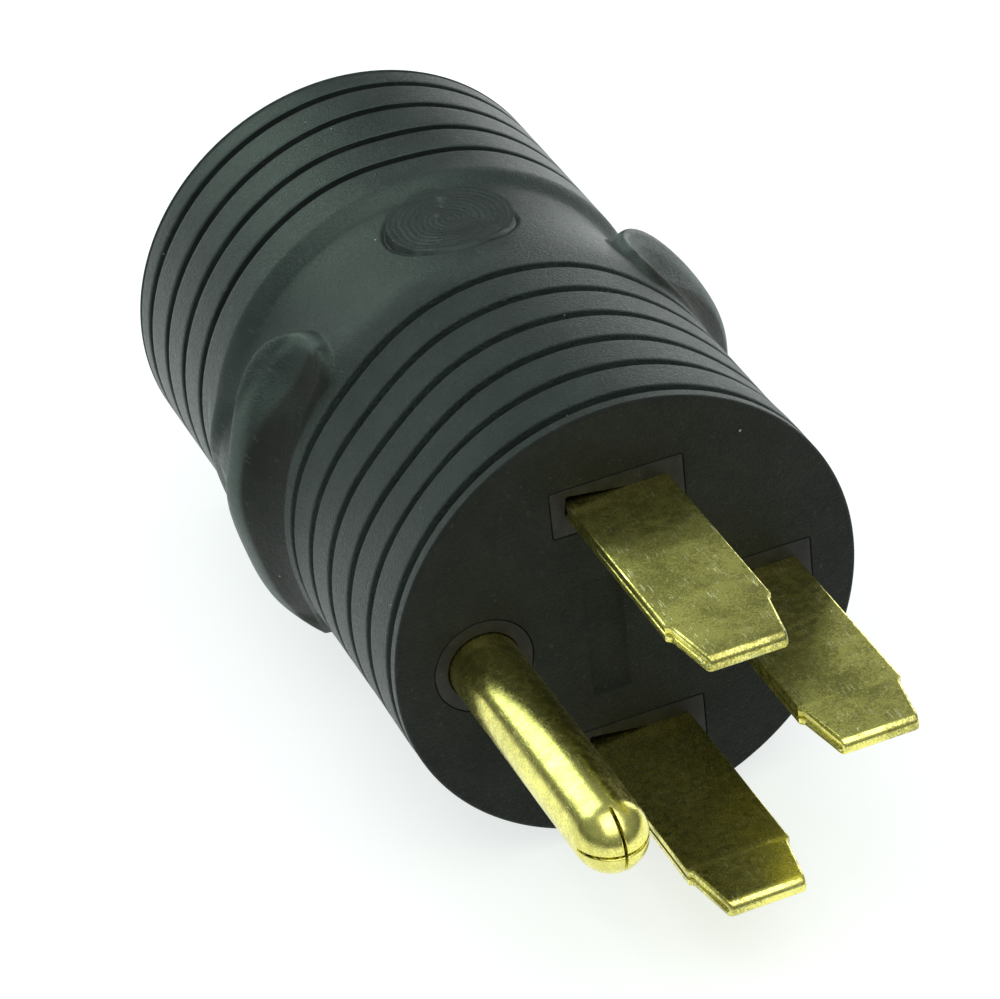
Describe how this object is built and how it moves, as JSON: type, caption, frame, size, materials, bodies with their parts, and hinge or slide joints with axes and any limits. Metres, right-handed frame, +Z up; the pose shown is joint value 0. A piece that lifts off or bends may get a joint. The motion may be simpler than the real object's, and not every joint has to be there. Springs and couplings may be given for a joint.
{
  "type": "plug adapter",
  "caption": "Rigid moulded power adapter with a four-prong plug at one end, a three-hole socket at the other and two finger flanges on its waist.",
  "frame": {"origin": "on the plane the adapter lies on, under the middle of its bounding box", "axes": "+Y along the adapter's axis out of the socket (the prongs point along -Y), +X from the ground pin towards the neutral prong, +Z up, through the moulding mark on the waist"},
  "size_m": [0.0622, 0.119, 0.0541],
  "materials": {
    "jacket": "matte, fine leathery grain",
    "insert": "satin black",
    "filler": "matte grey",
    "brass": "rolled, lightly tarnished",
    "spring_steel": "rolled",
    "copper": null,
    "insulation_black": "satin",
    "insulation_white": "satin",
    "insulation_green": "satin"
  },
  "bodies": {
    "root": {"body_overmould": "jacket", "male_insert": "insert", "female_insert": "insert", "female_insert_cap": "insert", "inner_core": "filler", "prong_hot_x": "brass", "prong_hot_y": "brass", "prong_neutral": "brass", "prong_ground": "brass", "contact_hot": "brass", "contact_neutral": "brass", "contact_ground": "brass", "contact_spring_hot": "spring_steel", "contact_spring_neutral": "spring_steel", "contact_spring_ground": "spring_steel", "conductor_hot": "copper", "conductor_neutral": "copper", "conductor_ground": "copper", "insulation_hot": "insulation_black", "insulation_neutral": "insulation_white", "insulation_ground": "insulation_green"}
  },
  "joints": []
}
